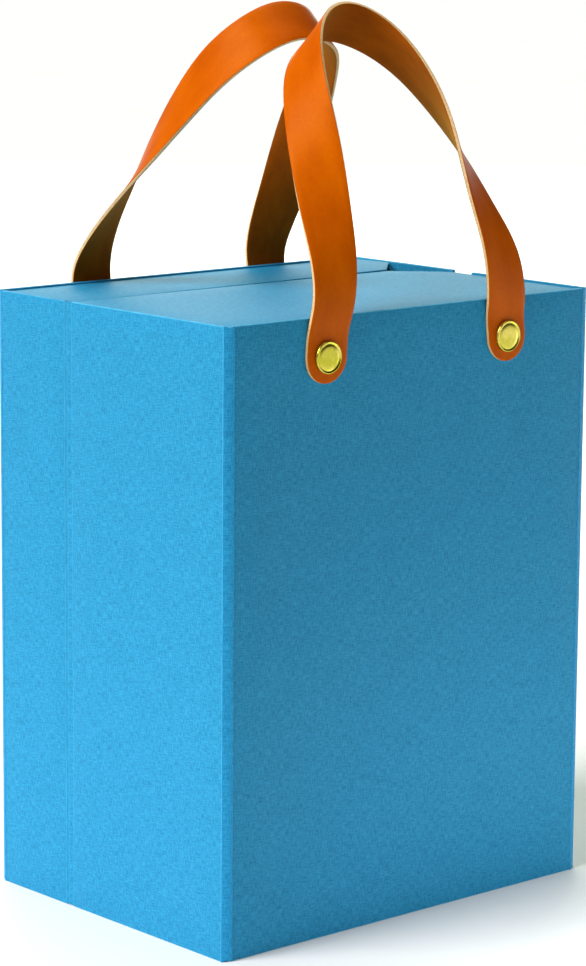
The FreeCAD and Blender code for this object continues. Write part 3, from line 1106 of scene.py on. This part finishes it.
# %% Handle stations
rivet_z = (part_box("front_rivet_posts")[0].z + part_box("front_rivet_posts")[1].z) / 2
fold_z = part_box("front_strap_feet")[1].z
strap_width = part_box("front_strap_feet")[1].x * 2 - spacing
strap_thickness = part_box("rear_strap_feet")[1].y - rear_face_y
foot_x = spacing / 2

# (out from the middle, inward from the cover's face, up from the fold, turned in degrees), in mm
front_stations = [
    (61.1, -1.0, -3.0, 0.0), (60.5, -2.0, 3.5, 0.5), (59.4, -2.9, 11.0, 2.0), (57.2, -0.9, 29.0, 8.0),
    (53.6, 8.6, 52.0, 22.0), (48.6, 22.5, 82.0, 45.0), (42.4, 36.5, 107.0, 62.0),
    (32.0, 50.5, 127.5, 72.0), (16.5, 60.3, 140.5, 83.0), (0.0, 63.5, 144.8, 90.0)]
rear_stations = [
    (61.6, -1.0, -3.0, 0.0), (61.2, -1.8, 4.0, 2.0), (60.9, -2.1, 10.5, 5.0), (59.8, 3.8, 28.0, 16.0),
    (56.2, 19.2, 52.0, 32.0), (49.8, 37.6, 79.0, 54.0), (42.8, 56.3, 104.5, 72.0),
    (34.0, 74.2, 125.5, 84.0), (20.5, 87.3, 139.0, 89.0), (0.0, 89.8, 144.2, 90.0)]


print("strap", round(strap_width / MM, 1), "x", round(strap_thickness / MM, 1), "mm")
print("stations on a leg:", len(front_stations), "front,", len(rear_stations), "rear")

# %% [markdown]
# The curve through the stations is a natural cubic one: it passes through every station
# and bends as little as it can, as a springy strip does. At each station one unknown,
# the bend, is found from its two neighbours, so all of them come from one small set of
# equations.

# %% Smooth curve
def station_bends(values, gap):
    """The second derivative at each station, nought at the two ends."""
    inner = len(values) - 2
    slope = np.diff(values, axis=0) / gap[:, None]
    system = np.zeros((inner, inner))
    pull = np.zeros((inner, values.shape[1]))
    for row in range(inner):
        system[row, row] = 2 * (gap[row] + gap[row + 1])
        if row > 0:
            system[row, row - 1] = gap[row]
        if row < inner - 1:
            system[row, row + 1] = gap[row + 1]
        pull[row] = 6 * (slope[row + 1] - slope[row])
    bend = np.zeros(values.shape)
    bend[1:-1] = np.linalg.solve(system, pull)
    return bend


def smooth_through(values, places, samples):
    """A natural cubic curve through values at increasing places, read at samples."""
    values, places = np.asarray(values, float), np.asarray(places, float)
    gap = np.diff(places)
    bend = station_bends(values, gap)
    found = []
    for sample in samples:
        k = min(max(int(np.searchsorted(places, sample)) - 1, 0), len(places) - 2)
        ahead, behind, span = places[k + 1] - sample, sample - places[k], gap[k]
        curved = (bend[k] * ahead ** 3 + bend[k + 1] * behind ** 3) / (6 * span)
        from_start = (values[k] / span - bend[k] * span / 6) * ahead
        from_end = (values[k + 1] / span - bend[k + 1] * span / 6) * behind
        found.append(curved + from_start + from_end)
    return np.array(found)


print("curve through 0, 1, 2 at its middle:", smooth_through([[0.0], [1.0], [2.0]], [0, 1, 2], [1.0])[0])

# %% [markdown]
# A line of places alone doesn't say how the strap lies, so each point also gets two
# directions: across the strap, and out of its grain side. Across starts along the box
# and turns towards the top of the loop, by the angle that the curve gives.

# %% Handle line
line_points = 361


def handle_line(side, face_y, stations, top_lean):
    """Points along a handle, with the directions across it and out of its grain side."""
    right = [(out * MM, face_y - side * inward * MM, fold_z + up * MM, math.radians(turn))
             for out, inward, up, turn in stations]
    flat_y = face_y + side * strap_thickness / 2
    tip = rivet_z - strap_width / 2
    leg = [(foot_x, flat_y, tip, 0.0), (foot_x, flat_y, rivet_z, 0.0)] + right
    whole = [(-x, y, z, turn) for x, y, z, turn in leg] + leg[-2::-1]
    steps = [math.dist(a[:3], b[:3]) for a, b in zip(whole, whole[1:])]
    places = [0.0] + list(np.cumsum(steps))
    line = smooth_through(whole, places, np.linspace(0.0, places[-1], line_points))
    lean = math.radians(top_lean)
    over_top = Vector((0.0, -side * math.cos(lean), -math.sin(lean)))
    found = []
    for index, row in enumerate(line):
        ahead = line[min(index + 1, len(line) - 1)][:3] - line[max(index - 1, 0)][:3]
        along = Vector(ahead).normalized()
        leg_sign = -1.0 if row[0] < 0 else 1.0
        turn = min(max(row[3], 0.0), math.pi / 2)
        across = Vector((leg_sign * math.cos(turn), 0.0, 0.0)) + over_top * math.sin(turn)
        across = (across - along * across.dot(along)).normalized()
        found.append((Vector(row[:3]), across, across.cross(along) * side))
    return found


print("points on a handle's line:", line_points)

# %% [markdown]
# ## Bending a strap along its line
# The tree takes the flat strap and reads the line at each point's distance along the
# strap. The point moves to the line there, then sideways by its place across the
# strap, then outwards by its height in the leather. A Curve modifier does much the same
# but chooses the twist itself. Here the strap keeps its width, its thickness and its
# length, and the twist is the one on the line.

# %% Parts of the bending tree
def live_socket(sockets, name):
    """The socket of that name which the node's present data type uses."""
    return [socket for socket in sockets if socket.name == name and socket.enabled][0]


def read_on_line(tree, wire, distance, label):
    """A direction stored on the wire, and the place there, at a distance along it."""
    named = add_node(tree, "GeometryNodeInputNamedAttribute", {"Name": label},
                     data_type="FLOAT_VECTOR")
    sample = add_node(tree, "GeometryNodeSampleCurve", data_type="FLOAT_VECTOR", mode="LENGTH",
                      use_all_curves=True)
    join(tree, wire, sample.inputs["Curves"], distance, sample.inputs["Length"],
         live_socket(named.outputs, "Attribute"), live_socket(sample.inputs, "Value"))
    return live_socket(sample.outputs, "Value"), sample.outputs["Position"]


def step_along(tree, start, direction, amount):
    """A point moved from a start by an amount of a direction."""
    scaled = add_node(tree, "ShaderNodeVectorMath", operation="SCALE")
    moved = add_node(tree, "ShaderNodeVectorMath", operation="ADD")
    join(tree, direction, scaled.inputs[0], amount, scaled.inputs["Scale"],
         start, moved.inputs[0], scaled.outputs[0], moved.inputs[1])
    return moved.outputs[0]


print("tree parts ready: read_on_line, step_along")

# %% [markdown]
# The three surfaces of the strap were marked on its faces while it was flat. After the
# bend the tree sets a finish for each mark, so one strap ends with three materials.

# %% Bending tree
def dress_surfaces(tree, given, geometry):
    """Sets the finish of each surface by the mark that its faces carry."""
    surface = add_node(tree, "GeometryNodeInputNamedAttribute", {"Name": "surface"}, data_type="FLOAT")
    for number, label in enumerate(("Grain", "Flesh", "Edge")):
        chosen = add_node(tree, "ShaderNodeMath", {1: float(number), 2: 0.5}, operation="COMPARE")
        dressed = add_node(tree, "GeometryNodeSetMaterial")
        join(tree, live_socket(surface.outputs, "Attribute"), chosen.inputs[0],
             chosen.outputs[0], dressed.inputs["Selection"],
             given[label], dressed.inputs["Material"], geometry, dressed.inputs["Geometry"])
        geometry = dressed.outputs[0]
    return geometry


def bending_tree():
    """A tree that lays a flat strap along a wire and dresses its surfaces."""
    tree, given, result = new_tree("follow_handle_line", [
        ("Line", "Object", None), ("Grain", "Material", None), ("Flesh", "Material", None),
        ("Edge", "Material", None)])
    info = add_node(tree, "GeometryNodeObjectInfo")
    wire = add_node(tree, "GeometryNodeMeshToCurve")
    place = add_node(tree, "GeometryNodeInputPosition")
    flat = add_node(tree, "ShaderNodeSeparateXYZ")
    join(tree, given["Line"], info.inputs["Object"], info.outputs["Geometry"], wire.inputs[0],
         place.outputs[0], flat.inputs[0])
    across, line_place = read_on_line(tree, wire.outputs[0], flat.outputs["X"], "across")
    outward, line_place = read_on_line(tree, wire.outputs[0], flat.outputs["X"], "outward")
    sideways = step_along(tree, line_place, across, flat.outputs["Y"])
    moved = add_node(tree, "GeometryNodeSetPosition")
    real = add_node(tree, "GeometryNodeRealizeInstances")
    join(tree, given["Geometry"], moved.inputs["Geometry"],
         step_along(tree, sideways, outward, flat.outputs["Z"]), moved.inputs["Position"],
         moved.outputs[0], real.inputs[0])
    join(tree, dress_surfaces(tree, given, real.outputs[0]), result["Geometry"])
    return tree


follow_line = bending_tree()
print("nodes in the bending tree:", len(follow_line.nodes))

# %% [markdown]
# Each handle is now made in full: its line, a flat strap of that line's length, and the
# tree that lays one along the other. The table names the body that holds its feet and
# the one its loop swings with, but the strap is attached to neither and keeps its place
# in its own mesh.


def line_object(name, line):
    """A wire with the two directions stored on its points."""
    mesh = bpy.data.meshes.new(name)
    mesh.from_pydata([row[0] for row in line], [(i, i + 1) for i in range(len(line) - 1)], [])
    for label, column in (("across", 1), ("outward", 2)):
        stored = mesh.attributes.new(label, "FLOAT_VECTOR", "POINT")
        for index, row in enumerate(line):
            stored.data[index].vector = row[column]
    wire = bpy.data.objects.new(name, mesh)
    bpy.context.scene.collection.objects.link(wire)
    return wire


# half, side, cover's face, stations, lean of the loop's top in degrees, fixed body, swinging body
handles = (("front", -1, front_face_y, front_stations, 49.0, "front_box", "front_handle"),
           ("rear", 1, rear_face_y, rear_stations, 43.5, "lid", "rear_handle"))
for half, side, face_y, stations, top_lean, fixed, swinging in handles:
    line = handle_line(side, face_y, stations, top_lean)
    length = sum((b[0] - a[0]).length for a, b in zip(line, line[1:]))
    strap = flat_strap(half + "_leather_strap", length, strap_width, strap_thickness)
    wire = line_object(half + "_wire", line)
    run_tree(strap, follow_line,
             {"Line": wire, "Grain": tan_grain, "Flesh": brown_flesh, "Edge": raw_edge})
    bpy.data.objects.remove(wire)
    work = bmesh.new()
    work.from_mesh(strap.data)
    bmesh.ops.recalc_face_normals(work, faces=work.faces[:])
    work.to_mesh(strap.data)
    work.free()
    shade_by_angle(strap, 60.0)
    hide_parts(half + "_strap", half + "_strap_feet")
    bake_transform(strap)
    print(half, "strap length:", round(length / MM, 1), "mm, faces:", len(strap.data.polygons))

# %% [markdown]
# ## Floor
# The box stands on a plain pale floor. A bent backdrop would hide the horizon, but a
# very wide flat floor that fades into a white surround does so too, from every side.

# %% Floor
floor_reach = 12.0


def pale_floor():
    """A matt, nearly white floor with a very faint change of tone."""
    finish, tree, shader = new_finish("pale_floor", roughness=0.75, specular=0.2)
    place = add_node(tree, "ShaderNodeTexCoord").outputs["Object"]
    tone = stretched_noise(tree, place, (3.0, 3.0, 3.0), 2.0)
    colour = ramp_between(tree, tone, [(0.3, (0.77, 0.77, 0.77)), (0.7, (0.79, 0.79, 0.79))])
    join(tree, colour, shader.inputs["Base Color"])
    return finish


floor_mesh = bpy.data.meshes.new("studio_floor")
floor_corners = [(x * floor_reach, y * floor_reach, 0) for x, y in ((-1, -1), (1, -1), (1, 1), (-1, 1))]
floor_mesh.from_pydata(floor_corners, [], [(0, 1, 2, 3)])
floor_mesh.materials.append(pale_floor())
floor = bpy.data.objects.new("studio_floor", floor_mesh)
bpy.context.scene.collection.objects.link(floor)
floor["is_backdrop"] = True
print("floor:", 2 * floor_reach, "m across")

# %% [markdown]
# ## Surround
# A world that is white all round would fill every shade and flatten the box. A dark one
# would show as a grey band over the floor. So the surround is white only near the
# horizon, and almost black above it.

# %% Surround
surround = bpy.data.worlds.new("studio_surround")
surround.use_nodes = True
sky = surround.node_tree
direction = add_node(sky, "ShaderNodeTexCoord").outputs["Generated"]
height = add_node(sky, "ShaderNodeSeparateXYZ")
join(sky, direction, height.inputs[0])
glow = ramp_between(sky, height.outputs["Z"], [(0.03, (1.0, 1.0, 1.0)), (0.14, (0.02, 0.02, 0.02))])
join(sky, glow, sky.nodes["Background"].inputs["Color"])
bpy.context.scene.world = surround
bpy.context.scene.view_settings.view_transform = "Standard"
print("surround:", surround.name)

# %% [markdown]
# ## Light
# Soft studio light. A broad source from the left keeps the left wall brightest and
# leaves the front in half shade. A weaker one overhead and a large panel behind light
# the top at a glancing angle, a little greenish, as daylight from a window is. A small
# panel on the right and two low strips near the floor lift the shades a little. Point
# lamps would be simpler, but they cast hard shadows.

# %% Light
white = (1.0, 1.0, 1.0)
window_tint = (0.92, 1.0, 0.84)
box_middle = Vector((0.0, 0.0, box_top_z / 2))


def set_lamp(data, place, facing):
    """A lamp at a place, shining along a direction."""
    lamp = bpy.data.objects.new(data.name, data)
    lamp.location = place
    lamp.rotation_mode = "QUATERNION"
    lamp.rotation_quaternion = Vector(facing).to_track_quat("-Z", "Y")
    bpy.context.scene.collection.objects.link(lamp)
    return lamp


def broad_sun(name, towards_light, strength, spread, tint=white):
    """A distant soft source, so that the floor is lit evenly a long way back."""
    data = bpy.data.lights.new(name, "SUN")
    data.energy = strength * math.pi
    data.color = tint
    data.angle = math.radians(spread)
    towards = Vector(towards_light).normalized()
    set_lamp(data, box_middle + towards * 3.0, -towards)


def soft_panel(name, towards_light, away, size, power, tint=white):
    """A large square panel that faces the box."""
    data = bpy.data.lights.new(name, "AREA")
    data.size = size
    data.color = tint
    data.energy = power
    towards = Vector(towards_light).normalized()
    set_lamp(data, box_middle + towards * away, -towards).visible_camera = False


def low_strip(name, place, facing, power):
    """A long low lamp near the floor that lightens the foot of a wall."""
    data = bpy.data.lights.new(name, "AREA")
    data.shape = "RECTANGLE"
    data.size = 0.50
    data.size_y = 0.04
    data.energy = power
    set_lamp(data, place, facing).visible_camera = False


broad_sun("key_left", (-0.75, 0.12, 0.66), 1.42, 40.0)
broad_sun("overhead", (0.15, 0.30, 1.0), 0.46, 50.0, window_tint)
soft_panel("rear_panel", (0.65, 0.74, 0.42), 4.0, 2.2, 64.0, window_tint)
soft_panel("right_fill", (0.95, -0.30, -0.02), 0.85, 0.25, 0.5)
low_strip("low_front_fill", (0.14, front_face_y - 0.18, 0.03), (0, 1, 0.30), 0.27)
low_strip("low_left_fill", (left_face_x - 0.20, 0.0, 0.03), (1, 0, 0.30), 0.14)
print("lamps:", len(bpy.data.lights))

# %% [markdown]
# ## Camera
# A long lens from a little above, turned towards the front left corner, keeps the
# upright edges nearly parallel. A Track To constraint would aim it, but not let it
# roll. So the three directions of its view are worked out and stored as its matrix.

# %% Camera
azimuth, elevation, roll = math.radians(-41.565), math.radians(10.374), math.radians(0.449)
distance, raised = 1.7702, 0.0542
back = Vector((math.sin(azimuth) * math.cos(elevation), -math.cos(azimuth) * math.cos(elevation),
               math.sin(elevation)))
level_right = Vector((math.cos(azimuth), math.sin(azimuth), 0.0))
level_up = back.cross(level_right)
right = level_right * math.cos(roll) + level_up * math.sin(roll)
up = level_up * math.cos(roll) - level_right * math.sin(roll)
place = box_middle + back * distance + up * raised
camera_data = bpy.data.cameras.new("camera")
camera_data.lens = 124.8
camera_data.sensor_width = 36.0
camera_data.clip_end = 100.0
camera = bpy.data.objects.new("camera", camera_data)
camera.rotation_mode = "QUATERNION"
matrix = camera.matrix_world.copy()
for row in range(3):
    matrix[row] = (right[row], up[row], back[row], place[row])
camera.matrix_world = matrix
bpy.context.scene.collection.objects.link(camera)
bpy.context.scene.camera = camera
print("camera at", [round(v, 3) for v in place], "m")

# %% Finish
low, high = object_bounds()
print("visual size in mm:", [round(v / MM, 1) for v in high - low])
